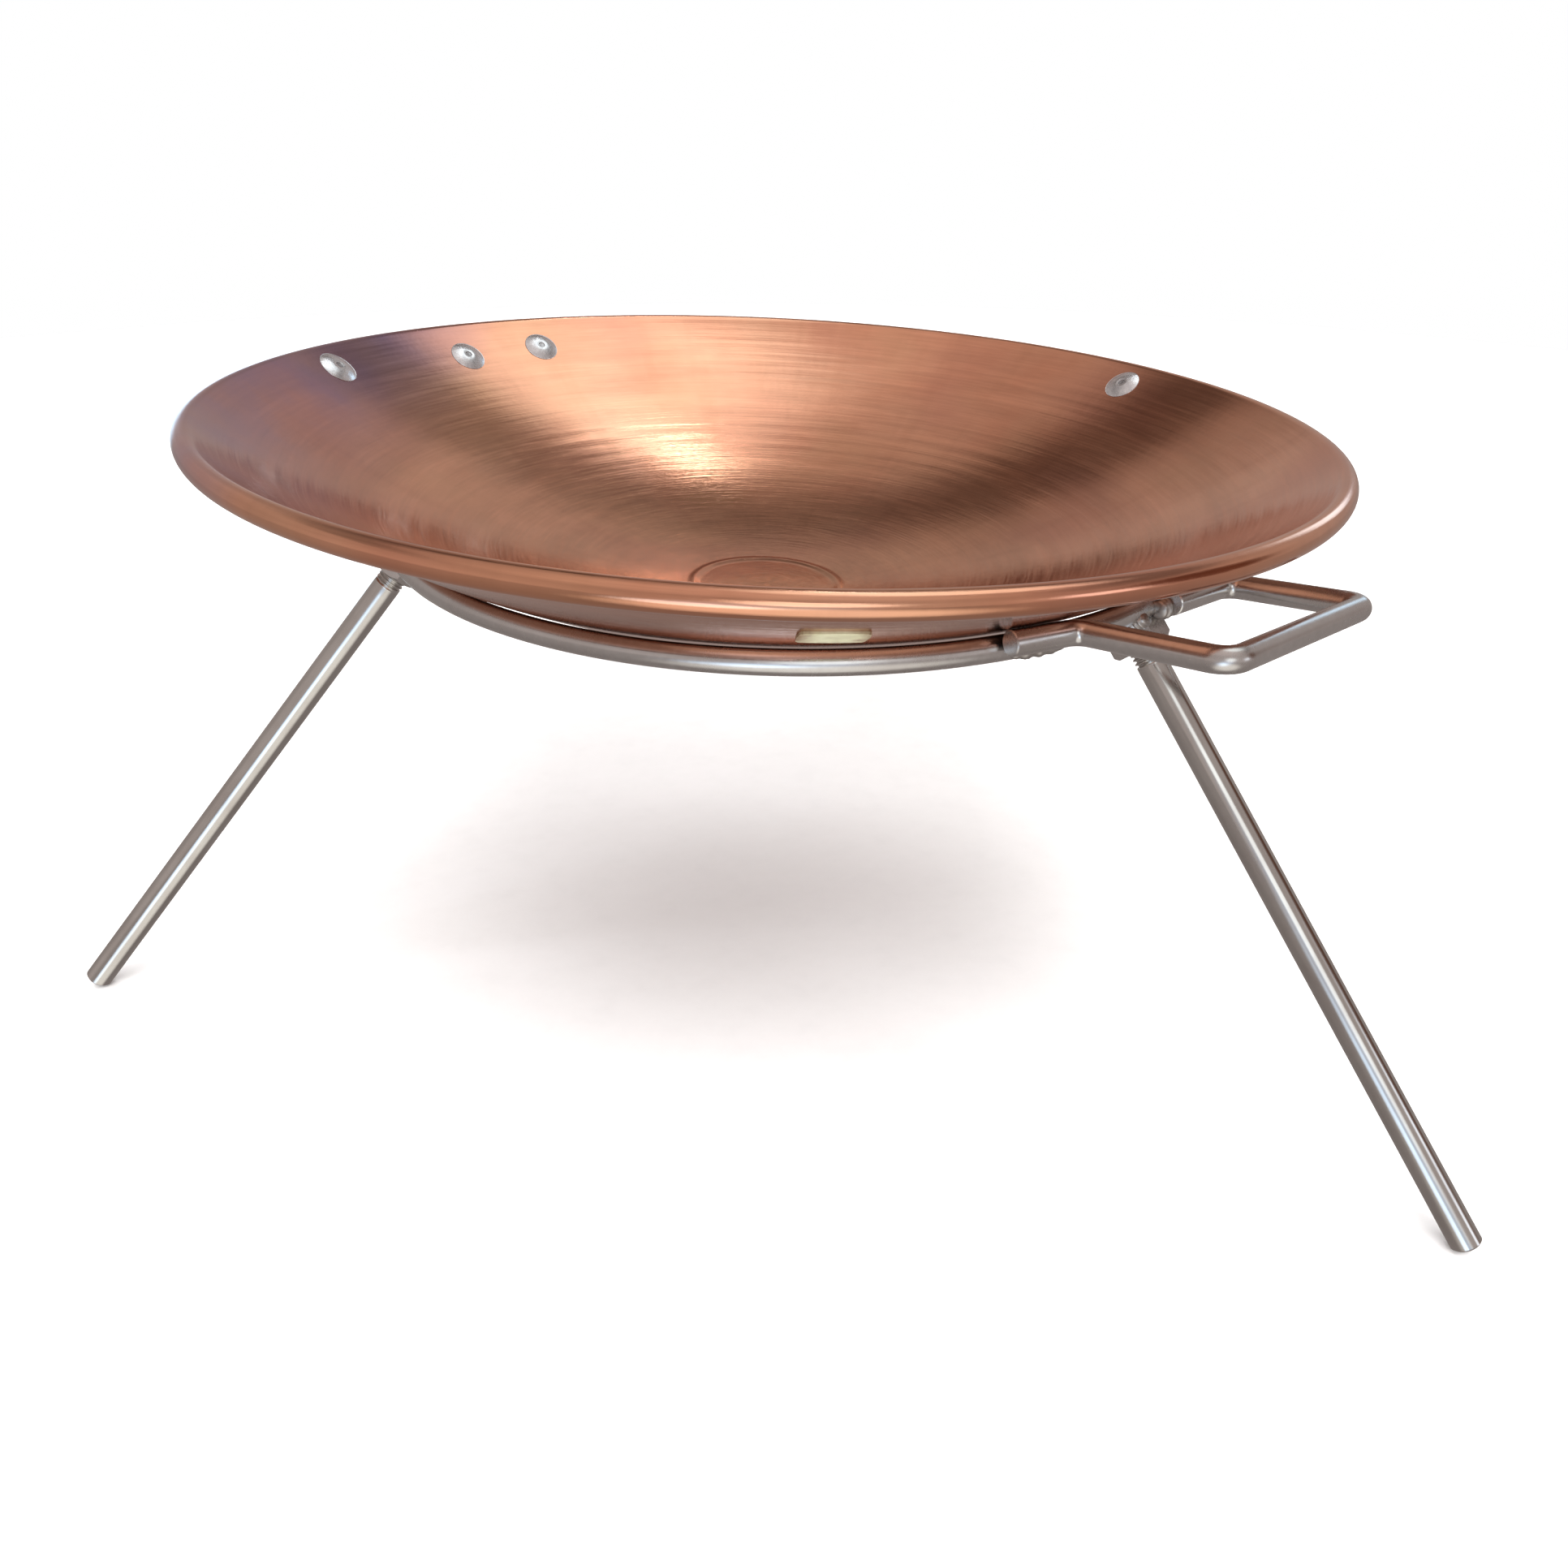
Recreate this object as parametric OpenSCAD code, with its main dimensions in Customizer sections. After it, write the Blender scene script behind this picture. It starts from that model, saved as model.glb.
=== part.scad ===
// Fire pit: a spun copper bowl resting in a ring of bent round rod.
// Three threaded rod legs screw into nuts welded under the ring.
// One bent rod handle is welded to the ring.
// Millimetres, +Z up. The origin is on the floor, at the centre of the feet's bounding box.

/* [Bowl] */
// outside diameter over the curled rim
bowl_diameter = 420; // [300:1:600]
// copper sheet thickness
wall = 1.5; // [1:0.1:3]
// outside diameter of the curled rim
curl_diameter = 8; // [4:0.1:10]
// depth of the spherical curve below the rim
curve_depth = 75.5; // [50:0.5:110]
// diameter of the flat disc in the middle of the floor
floor_diameter = 60; // [30:1:100]
// tilt of the loose bowl in its ring, right side down
bowl_tilt = 2.3; // [0:0.1:4]
// gap left between the bowl and the ring
seat_gap = 0.3; // [0.1:0.1:1]

/* [Stand] */
// radius of the ring to the middle of its rod
ring_radius = 155; // [120:1:190]
// rod diameter of the ring and the handle
rod_diameter = 8; // [6:0.5:12]
// direction of the first leg, turning from +X towards +Y
first_leg_direction = -43.5; // [-90:0.5:90]
// number of legs, evenly spaced
leg_count = 3; // [3:1:3]

/* [Legs] */
// leg rod diameter
leg_diameter = 10; // [8:1:12]
// length of one leg
leg_length = 225; // [120:1:400]
// angle between a leg and the vertical
leg_splay = 41.4; // [20:0.1:50]
// how far the leg line passes inside the ring rod, at the ring's height
leg_inset = 10.4; // [9:0.1:11]
// thread pitch
thread_pitch = 1.5; // [1:0.25:2]
// number of thread grooves on one leg
thread_grooves = 8; // [6:1:12]
// edge break at the foot
foot_chamfer = 0.8; // [0.2:0.1:2]

/* [Nuts] */
// width of a nut across its flats
nut_flats = 17; // [13:0.5:19]
// height of a nut
nut_height = 8; // [6:0.5:10]
// radial gap between a leg and its nut
thread_clearance = 0.05; // [0.01:0.01:0.1]

/* [Handle] */
// direction the handle points, turning from +X towards +Y
handle_direction = -47; // [-90:0.1:90]
// upward slope of the handle
handle_rise = 7; // [0:0.1:15]
// sideways lean of the handle
handle_lean = -3.1; // [-6:0.1:6]
// grip width between the middles of the two arms
grip_width = 79.7; // [60:0.1:120]
// length of the arm that ends in the foot
near_arm = 48.2; // [40:0.1:80]
// length of the arm that ends in the inner bar
far_arm = 45.9; // [35:0.1:80]
// length of the inner bar that turns back towards the foot
inner_bar = 33.5; // [20:0.5:40]
// length of the foot that lies along the ring
foot_length = 24.5; // [15:0.1:40]
// direction of the middle of the foot
foot_direction = -63.3; // [-90:0.1:0]
// turn of the foot away from the grip's line
foot_turn = 16.2602; // [0:0.0001:30]
// radius of the bends to the middle of the rod
bend_radius = 6; // [5:0.5:12]

/* [Rivets and plate] */
// rivet head diameter
rivet_head = 16; // [10:0.5:18]
// rivet shank diameter
rivet_shank = 4.8; // [3.2:0.1:6.4]
// height of the domed rivet head
rivet_dome = 1.9; // [1:0.1:3]
// pulled pin diameter
pin_diameter = 2.7; // [2:0.1:3.5]
// width of the brass plate round the bowl
plate_width = 20; // [12:0.5:30]
// height of the brass plate up the wall
plate_height = 13; // [8:0.5:20]
// thickness of the brass plate
plate_thickness = 1; // [0.5:0.1:2]
// direction of the brass plate
plate_direction = -82.9; // [-180:0.1:180]
// distance of the plate's middle from the bowl's centre line
plate_reach = 173; // [165:0.5:185]

/* [Hidden] */
$fn = 96;

steel = [0.74, 0.73, 0.71];
dark_steel = [0.45, 0.44, 0.42];
copper = [0.80, 0.44, 0.30];
aluminium = [0.78, 0.78, 0.80];
brass = [0.74, 0.68, 0.42];

// direction and depth below the rim of each rivet
rivet_places = [[163.5, 7.5], [141.3, 11.8], [128.7, 11.1], [34.1, 8]];

rod_radius = rod_diameter / 2;
leg_radius = leg_diameter / 2;
nut_corner_radius = nut_flats / 2 / cos(30);
// the smallest gap left between two pieces that touch
hair = 0.02;

// the bowl's wall is a piece of a sphere that runs smoothly into the curl
curl_radius = curl_diameter / 2;
curl_centre = bowl_diameter / 2 - curl_radius;
sphere_rise = (curl_centre * curl_centre / curve_depth - curve_depth - curl_diameter) / 2;
inner_radius = sphere_rise + curve_depth;
outer_radius = inner_radius + wall;
wall_top = sphere_rise - inner_radius * (sphere_rise + curl_radius) / (inner_radius + curl_radius);
floor_radius = floor_diameter / 2;
floor_level = sphere_rise - sqrt(pow(inner_radius, 2) - pow(floor_radius, 2));

// a leg line starts level with the ring; these are distances down along it
ring_along = leg_inset * sin(leg_splay);
nut_start = ring_along + rod_radius;
leg_start = nut_start + 0.3;
leg_end = leg_start + leg_length;
line_start_radius = ring_radius - leg_inset;

// the foot's chamfered edge stands on the floor
ring_height = leg_end * cos(leg_splay) + (leg_radius - foot_chamfer) * sin(leg_splay);
sphere_height = ring_height
    + sqrt(pow(outer_radius + seat_gap + rod_radius, 2) - pow(ring_radius, 2));

// widest points of the feet, used to put the origin in the middle
foot_radius = line_start_radius + (leg_end - foot_chamfer) * sin(leg_splay);
function edge(turn) = leg_radius * sqrt(1 - pow(sin(leg_splay) * turn, 2));
function foot_x(a) = foot_radius * cos(a);
function foot_y(a) = foot_radius * sin(a);
right_turn = first_leg_direction;
left_turn = first_leg_direction - 360 / leg_count;
back_turn = first_leg_direction + 360 / leg_count;
highest_x = foot_x(right_turn) + edge(cos(right_turn));
lowest_x = foot_x(left_turn) - edge(cos(left_turn));
highest_y = foot_y(back_turn) + edge(sin(back_turn));
lowest_y = foot_y(right_turn) - edge(sin(right_turn));
centre_x = (highest_x + lowest_x) / 2;
centre_y = (highest_y + lowest_y) / 2;

// the handle's foot lies in the groove between the ring and the bowl
foot_out = 7.7;
foot_up = 4.6;

// weld bead sizes
nut_weld_radius = 3;
nut_weld_side = 7.5;
nut_weld_rise = 0.5;
seam_radius = 2.2;
seam_out = 5.2;
seam_angle = 6.5;
end_weld_radius = 3.6;
end_weld_out = 5;
end_weld_direction = -42.6;

// ---------- frames ----------

module centred() {
    translate([-centre_x, -centre_y, 0]) children();
}

module at_ring() {
    centred() translate([0, 0, ring_height]) children();
}

// +Z runs down along a leg, and +X of the leg frame points up and out to the ring
module at_leg(turn) {
    at_ring()
        rotate([0, 0, turn])
            translate([line_start_radius, 0, 0])
                rotate([0, 180 - leg_splay, 0])
                    mirror([1, 0, 0])
                        children();
}

// the bowl's own frame has its origin at the middle of the rim
module at_bowl() {
    centred()
        translate([0, 0, sphere_height])
            rotate([0, bowl_tilt, 0])
                translate([0, 0, -sphere_rise])
                    children();
}

// +Z runs outwards through the bowl's wall from the middle of its sphere
module at_wall(turn, lean) {
    translate([0, 0, sphere_rise])
        rotate([0, 0, turn])
            rotate([0, 180 - lean, 0])
                children();
}

function lean_at_depth(depth) = acos((sphere_rise + depth) / inner_radius);

// handle frame: +X along the arms outwards, +Y along the grip, origin in the middle of the foot
module at_handle() {
    at_ring()
        rotate([0, 0, foot_direction])
            translate([ring_radius + foot_out, 0, foot_up])
                rotate([0, 0, handle_direction - foot_direction])
                    rotate([0, -handle_rise, 0])
                        rotate([handle_lean, 0, 0])
                            children();
}

// ---------- stand ----------

module ring_rod() {
    rotate_extrude() translate([ring_radius, 0]) circle(r = rod_radius);
}

module stand_ring() {
    color(steel) at_ring() ring_rod();
}

// a straight run of rod along +X
module straight(length) {
    rotate([0, 90, 0]) cylinder(r = rod_radius, h = length);
}

// a bend that starts at the origin along +X and turns by the angle, plus is left
module bend(angle) {
    side = sign(angle);
    mirror([0, side < 0 ? 1 : 0, 0])
        translate([0, bend_radius, 0])
            rotate([0, 0, -90])
                rotate_extrude(angle = abs(angle))
                    translate([bend_radius, 0])
                        circle(r = rod_radius);
}

// moves to the far end of a bend
module after_bend(angle) {
    side = sign(angle);
    swing = abs(angle);
    translate([bend_radius * sin(swing), side * bend_radius * (1 - cos(swing)), 0])
        rotate([0, 0, angle])
            children();
}

// length taken off a straight run by a bend at its end
function taken(angle) = bend_radius * tan(abs(angle) / 2);

module bent_rod() {
    first_bend = -(90 - foot_turn);
    foot_run = foot_length - taken(first_bend);
    near_run = near_arm - taken(first_bend) - taken(90);
    grip_run = grip_width - 2 * taken(90);
    far_run = far_arm - 2 * taken(90);
    bar_run = inner_bar - taken(90);
    rotate([0, 0, 90 - foot_turn])
        translate([-foot_length / 2, 0, 0]) {
            straight(foot_run);
            translate([foot_run, 0, 0]) {
                bend(first_bend);
                after_bend(first_bend) {
                    straight(near_run);
                    translate([near_run, 0, 0]) {
                        bend(90);
                        after_bend(90) {
                            straight(grip_run);
                            translate([grip_run, 0, 0]) {
                                bend(90);
                                after_bend(90) {
                                    straight(far_run);
                                    translate([far_run, 0, 0]) {
                                        bend(90);
                                        after_bend(90) straight(bar_run);
                                    }
                                }
                            }
                        }
                    }
                }
            }
        }
}

module handle() {
    color(steel) at_handle() bent_rod();
}

// hexagon with both faces eased, standing on its lower face
module nut_body() {
    ease = nut_corner_radius - nut_flats / 2;
    intersection() {
        cylinder(r = nut_corner_radius, h = nut_height, $fn = 6);
        cylinder(r1 = nut_flats / 2, r2 = nut_flats / 2 + nut_height, h = nut_height);
        translate([0, 0, -ease])
            cylinder(r1 = nut_flats / 2 + nut_height + ease, r2 = nut_flats / 2, h = nut_height + ease);
    }
}

module nut() {
    bore = leg_radius + thread_clearance;
    difference() {
        rotate([0, 0, 30]) nut_body();
        translate([0, 0, -1]) cylinder(r = bore, h = nut_height + 2);
        translate([0, 0, nut_height - 0.6]) cylinder(r1 = bore, r2 = bore + 0.6, h = 0.6);
    }
}

module leg_nuts() {
    color(steel)
        for (turn = [right_turn, left_turn, back_turn])
            at_leg(turn) translate([0, 0, nut_start]) nut();
}

// two beads beside each nut that run into the ring and the nut
module nut_welds() {
    color(dark_steel)
        for (turn = [right_turn, left_turn, back_turn], side = [-1, 1])
            at_leg(turn)
                translate([leg_inset * cos(leg_splay), side * nut_weld_side, nut_start - nut_weld_rise])
                    sphere(r = nut_weld_radius);
}

// a seam under the handle's foot and a bead at the cut end of its inner bar
module handle_welds() {
    color(dark_steel)
        at_ring() {
            rotate([0, 0, foot_direction - seam_angle / 2])
                rotate_extrude(angle = seam_angle)
                    translate([ring_radius + seam_out, 0])
                        circle(r = seam_radius);
            rotate([0, 0, end_weld_direction])
                translate([ring_radius + end_weld_out, 0, 0])
                    sphere(r = end_weld_radius);
        }
}

// ---------- legs ----------

// outline of one leg: thread ridges at the top, plain rod, eased foot
function groove_points(i) =
    let (start = 0.6 + i * thread_pitch, crest = leg_radius - hair, root = leg_radius - 0.9)
    [[crest, start], [root, start + thread_pitch * 0.45],
     [root, start + thread_pitch * 0.55], [crest, start + thread_pitch * 0.95]];

module threaded_rod() {
    thread = [for (i = [0 : thread_grooves - 1]) each groove_points(i)];
    relief = 0.6 + thread_grooves * thread_pitch;
    outline = concat(
        [[0, 0], [leg_radius - 0.6, 0]],
        thread,
        [[leg_radius - hair, relief], [leg_radius, relief + 0.4],
         [leg_radius, leg_length - foot_chamfer],
         [leg_radius - foot_chamfer, leg_length], [0, leg_length]]);
    rotate_extrude() polygon(outline);
}

module leg(turn) {
    color(steel) at_leg(turn) translate([0, 0, leg_start]) threaded_rod();
}

module leg_right() { leg(right_turn); }
module leg_left() { leg(left_turn); }
module leg_back() { leg(back_turn); }

// ---------- bowl ----------

module curl() {
    rotate_extrude()
        translate([curl_centre, -curl_radius])
            difference() {
                circle(r = curl_radius);
                circle(r = curl_radius - wall);
                polygon([[0, 0], [-curl_radius * 2, -curl_radius * 0.5], [-curl_radius, -curl_radius * 2]]);
            }
}

module dish() {
    difference() {
        intersection() {
            translate([0, 0, sphere_rise]) sphere(r = outer_radius);
            translate([0, 0, floor_level - wall])
                cylinder(r = bowl_diameter, h = wall_top - floor_level + wall);
        }
        intersection() {
            translate([0, 0, sphere_rise]) sphere(r = inner_radius);
            translate([0, 0, floor_level]) cylinder(r = bowl_diameter, h = bowl_diameter);
        }
    }
}

module fire_bowl() {
    color(copper)
        at_bowl()
            difference() {
                union() {
                    dish();
                    curl();
                }
                for (place = rivet_places)
                    at_wall(place[0], lean_at_depth(place[1]))
                        translate([0, 0, inner_radius - 5])
                            cylinder(r = rivet_shank / 2 + hair, h = wall + 10);
            }
}

// the head's rim touches the hollow side of the wall, and the tail its outside
head_seat = sqrt(pow(inner_radius, 2) - pow(rivet_head / 2, 2)) - hair;
head_top = head_seat - rivet_dome;
tail_seat = outer_radius + hair;
tail_radius = rivet_shank * 0.8;
tail_length = 4;
tail_end = tail_seat + tail_length;
overlap = 0.5;

module rivet_outline() {
    dome_radius = (pow(rivet_head / 2, 2) + pow(rivet_dome, 2)) / (2 * rivet_dome);
    intersection() {
        translate([0, 0, head_top + dome_radius]) sphere(r = dome_radius);
        translate([0, 0, head_top]) cylinder(r = rivet_head, h = rivet_dome);
    }
    translate([0, 0, head_seat - overlap])
        cylinder(r = rivet_shank / 2, h = tail_seat - head_seat + 2 * overlap);
    translate([0, 0, tail_seat]) cylinder(r = tail_radius, h = tail_length / 2);
    translate([0, 0, tail_seat + tail_length / 2])
        cylinder(r1 = tail_radius, r2 = rivet_shank / 2, h = tail_length / 2);
}

module rivet() {
    difference() {
        rivet_outline();
        translate([0, 0, head_top - 1])
            cylinder(r = pin_diameter / 2 + hair, h = tail_end - head_top + 2);
    }
}

module rivets() {
    color(aluminium)
        at_bowl()
            for (place = rivet_places)
                at_wall(place[0], lean_at_depth(place[1])) rivet();
}

// the pin is snapped off just inside the dome, and its head is drawn up to the tail
module rivet_pin() {
    sunk = 0.5;
    translate([0, 0, head_top + sunk])
        cylinder(r = pin_diameter / 2, h = tail_end - head_top - sunk + overlap);
    translate([0, 0, tail_end + hair]) cylinder(r = rivet_shank / 2, h = 1.2);
}

module rivet_pins() {
    color(dark_steel)
        at_bowl()
            for (place = rivet_places)
                at_wall(place[0], lean_at_depth(place[1])) rivet_pin();
}

// curved to the outside of the bowl
module brass_plate() {
    color(brass)
        at_bowl()
            intersection() {
                translate([0, 0, sphere_rise])
                    difference() {
                        sphere(r = outer_radius + hair + plate_thickness);
                        sphere(r = outer_radius + hair);
                    }
                at_wall(plate_direction, asin(plate_reach / outer_radius))
                    translate([-plate_height / 2, -plate_width / 2, outer_radius - 5])
                        cube([plate_height, plate_width, 10]);
            }
}

stand_ring();
handle();
leg_nuts();
nut_welds();
handle_welds();
leg_right();
leg_left();
leg_back();
fire_bowl();
rivets();
rivet_pins();
brass_plate();
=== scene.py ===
"""Looks of a fire pit: a spun copper bowl in a ring of round rod, on three threaded rod legs.

Sizes repeat the part's own driving dimensions, in millimetres. Every mesh is scaled to metres
when it is placed, and the floor is z = 0.
"""

import math
import random

import bpy
import numpy as np
from mathutils import Matrix, Vector


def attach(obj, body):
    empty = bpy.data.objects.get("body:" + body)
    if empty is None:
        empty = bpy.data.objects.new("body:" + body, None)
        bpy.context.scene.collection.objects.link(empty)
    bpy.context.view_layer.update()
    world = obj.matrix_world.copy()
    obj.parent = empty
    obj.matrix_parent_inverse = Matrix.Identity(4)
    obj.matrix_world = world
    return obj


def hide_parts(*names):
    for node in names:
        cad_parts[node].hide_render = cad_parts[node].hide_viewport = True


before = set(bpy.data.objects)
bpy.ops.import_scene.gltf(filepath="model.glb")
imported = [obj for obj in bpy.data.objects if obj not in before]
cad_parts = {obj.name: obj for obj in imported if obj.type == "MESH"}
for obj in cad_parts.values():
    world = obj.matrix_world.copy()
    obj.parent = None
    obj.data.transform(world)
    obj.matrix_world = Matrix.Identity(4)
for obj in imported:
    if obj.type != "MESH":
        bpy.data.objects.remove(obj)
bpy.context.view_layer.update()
METRES = 0.001

# ---------- driving sizes, in millimetres and degrees ----------

BOWL_DIAMETER = 420
WALL = 1.5
CURL_RADIUS = 4
CURVE_DEPTH = 75.5
FLOOR_RADIUS = 30
BOWL_TILT = 2.3
SEAT_GAP = 0.3

RING_RADIUS = 155
ROD_RADIUS = 4
LEG_TURNS = {"leg_right": -43.5, "leg_left": -163.5, "leg_back": 76.5}

LEG_RADIUS = 5
LEG_LENGTH = 225
LEG_SPLAY = 41.4
LEG_INSET = 10.4
THREAD_PITCH = 1.5
THREAD_LENGTH = 12.6
THREAD_DEPTH = 0.9
FOOT_CHAMFER = 0.8

NUT_FLATS = 17
NUT_HEIGHT = 8
NUT_BORE = 5.05

HANDLE_DIRECTION = -47
HANDLE_RISE = 7
HANDLE_LEAN = -3.1
GRIP_WIDTH = 79.7
NEAR_ARM = 48.2
FAR_ARM = 45.9
INNER_BAR = 33.5
FOOT_LENGTH = 24.5
FOOT_DIRECTION = -63.3
FOOT_TURN = 16.2602
FOOT_OUT = 7.7
FOOT_UP = 4.6
HANDLE_END_DIRECTION = -42.6
BEND_RADIUS = 6

RIVET_PLACES = [(163.5, 7.5), (141.3, 11.8), (128.7, 11.1), (34.1, 8)]
RIVET_HEAD = 8
RIVET_SHANK = 2.4
RIVET_DOME = 1.9
PIN_RADIUS = 1.35
TAIL_LENGTH = 4

PLATE_WIDTH = 20
PLATE_HEIGHT = 13
PLATE_THICKNESS = 1
PLATE_DIRECTION = -82.9
PLATE_REACH = 173

# ---------- sizes worked out from them ----------


def sin_deg(angle):
    return math.sin(math.radians(angle))


def cos_deg(angle):
    return math.cos(math.radians(angle))


curl_centre = BOWL_DIAMETER / 2 - CURL_RADIUS
sphere_rise = (curl_centre**2 / CURVE_DEPTH - CURVE_DEPTH - 2 * CURL_RADIUS) / 2
inner_radius = sphere_rise + CURVE_DEPTH
outer_radius = inner_radius + WALL
floor_level = sphere_rise - math.sqrt(inner_radius**2 - FLOOR_RADIUS**2)

nut_start = LEG_INSET * sin_deg(LEG_SPLAY) + ROD_RADIUS
leg_start = nut_start + 0.3
leg_end = leg_start + LEG_LENGTH
line_start_radius = RING_RADIUS - LEG_INSET
ring_height = leg_end * cos_deg(LEG_SPLAY) + (LEG_RADIUS - FOOT_CHAMFER) * sin_deg(LEG_SPLAY)
seat_radius = outer_radius + SEAT_GAP + ROD_RADIUS
sphere_height = ring_height + math.sqrt(seat_radius**2 - RING_RADIUS**2)


def feet_middle():
    """The middle of the feet's outline seen from above, which is where the origin is."""
    reach = line_start_radius + (leg_end - FOOT_CHAMFER) * sin_deg(LEG_SPLAY)
    xs, ys = [], []
    for turn in LEG_TURNS.values():
        for sign in (-1, 1):
            edge_x = LEG_RADIUS * math.sqrt(1 - (sin_deg(LEG_SPLAY) * cos_deg(turn)) ** 2)
            edge_y = LEG_RADIUS * math.sqrt(1 - (sin_deg(LEG_SPLAY) * sin_deg(turn)) ** 2)
            xs.append(reach * cos_deg(turn) + sign * edge_x)
            ys.append(reach * sin_deg(turn) + sign * edge_y)
    return (max(xs) + min(xs)) / 2, (max(ys) + min(ys)) / 2


centre_x, centre_y = feet_middle()

# ---------- frames ----------


def shift(x, y, z):
    return Matrix.Translation((x, y, z))


def spin(angle, axis):
    return Matrix.Rotation(math.radians(angle), 4, axis)


MIRROR_X = Matrix.Scale(-1, 4, (1, 0, 0))

at_ring = shift(-centre_x, -centre_y, ring_height)
at_bowl = shift(-centre_x, -centre_y, sphere_height) @ spin(BOWL_TILT, "Y") @ shift(0, 0, -sphere_rise)
at_handle = (
    at_ring
    @ spin(FOOT_DIRECTION, "Z")
    @ shift(RING_RADIUS + FOOT_OUT, 0, FOOT_UP)
    @ spin(HANDLE_DIRECTION - FOOT_DIRECTION, "Z")
    @ spin(-HANDLE_RISE, "Y")
    @ spin(HANDLE_LEAN, "X")
)


def at_leg(turn):
    """A mirrored frame: +Z runs down along the leg, and +X points up and out to the ring."""
    down_the_leg = spin(turn, "Z") @ shift(line_start_radius, 0, 0) @ spin(180 - LEG_SPLAY, "Y")
    return at_ring @ down_the_leg @ MIRROR_X


def at_wall(turn, lean):
    """+Z runs outwards through the bowl's wall from the middle of its sphere."""
    return at_bowl @ shift(0, 0, sphere_rise) @ spin(turn, "Z") @ spin(180 - lean, "Y")


# ---------- mesh helpers ----------


def grid_faces(rows, columns, close_rows=False, close_columns=True):
    """Quads over rows of points laid one after another."""
    faces = []
    for i in range(rows if close_rows else rows - 1):
        for j in range(columns if close_columns else columns - 1):
            a = i * columns + j
            b = i * columns + (j + 1) % columns
            c = (i + 1) % rows * columns + (j + 1) % columns
            d = (i + 1) % rows * columns + j
            faces.append((a, b, c, d))
    return faces


def end_caps(rows, columns):
    """Flat faces that close the first and the last ring of points."""
    last = (rows - 1) * columns
    return [tuple(reversed(range(columns))), tuple(range(last, last + columns))]


def revolve(profile, steps):
    """Turns (radius, height) points about Z. A radius of nought becomes one point."""
    points, rings = [], []
    for radius, height in profile:
        if radius < 1e-6:
            rings.append([len(points)] * steps)
            points.append((0, 0, height))
            continue
        rings.append(list(range(len(points), len(points) + steps)))
        for j in range(steps):
            angle = 2 * math.pi * j / steps
            points.append((radius * math.cos(angle), radius * math.sin(angle), height))
    faces = []
    for upper, lower in zip(rings, rings[1:]):
        for j in range(steps):
            k = (j + 1) % steps
            corners = [upper[j], upper[k], lower[k], lower[j]]
            face = tuple(dict.fromkeys(corners))
            if len(face) > 2:
                faces.append(face)
    return points, faces


def sweep(path, radii, steps):
    """A round tube along a list of points, with flat ends. The radii go point by point."""
    path = [Vector(p) for p in path]
    points = []
    side = None
    for i, here in enumerate(path):
        ahead = path[min(i + 1, len(path) - 1)] - path[max(i - 1, 0)]
        ahead.normalize()
        if side is None:
            side = ahead.orthogonal().normalized()
        side = (side - ahead * side.dot(ahead)).normalized()
        other = ahead.cross(side)
        for j in range(steps):
            angle = 2 * math.pi * j / steps
            points.append(here + radii[i] * (math.cos(angle) * side + math.sin(angle) * other))
    return points, grid_faces(len(path), steps) + end_caps(len(path), steps)


def merge(parts):
    """Joins (points, faces) pairs into one pair."""
    points, faces = [], []
    for some_points, some_faces in parts:
        start = len(points)
        points.extend(some_points)
        faces.extend(tuple(start + i for i in face) for face in some_faces)
    return points, faces


def moved(mesh, matrix):
    """Takes a mesh through a matrix. A mirror turns the faces round again."""
    points, faces = mesh
    points = [matrix @ Vector(p) for p in points]
    if matrix.determinant() < 0:
        faces = [tuple(reversed(face)) for face in faces]
    return points, faces


def smoothstep(value, low, high):
    """Nought below one value, one above the other, and an even slope between them."""
    t = min(max((value - low) / (high - low), 0), 1)
    return t * t * (3 - 2 * t)


def place(name, mesh, matrix, body, material, node, sharp=35):
    """Makes a piece that stands for a CAD node. Its own frame stays in the object's matrix."""
    points, faces = mesh
    data = bpy.data.meshes.new(name)
    data.from_pydata([tuple(Vector(p) * METRES) for p in points], [], faces)
    data.validate()
    data.shade_smooth()
    data.set_sharp_from_angle(angle=math.radians(sharp))
    data.materials.append(material)
    piece = bpy.data.objects.new(name, data)
    bpy.context.scene.collection.objects.link(piece)
    in_metres = matrix.copy()
    in_metres.translation = matrix.translation * METRES
    piece.matrix_world = in_metres
    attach(piece, body)
    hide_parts(node)


# ---------- material helpers ----------


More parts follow.
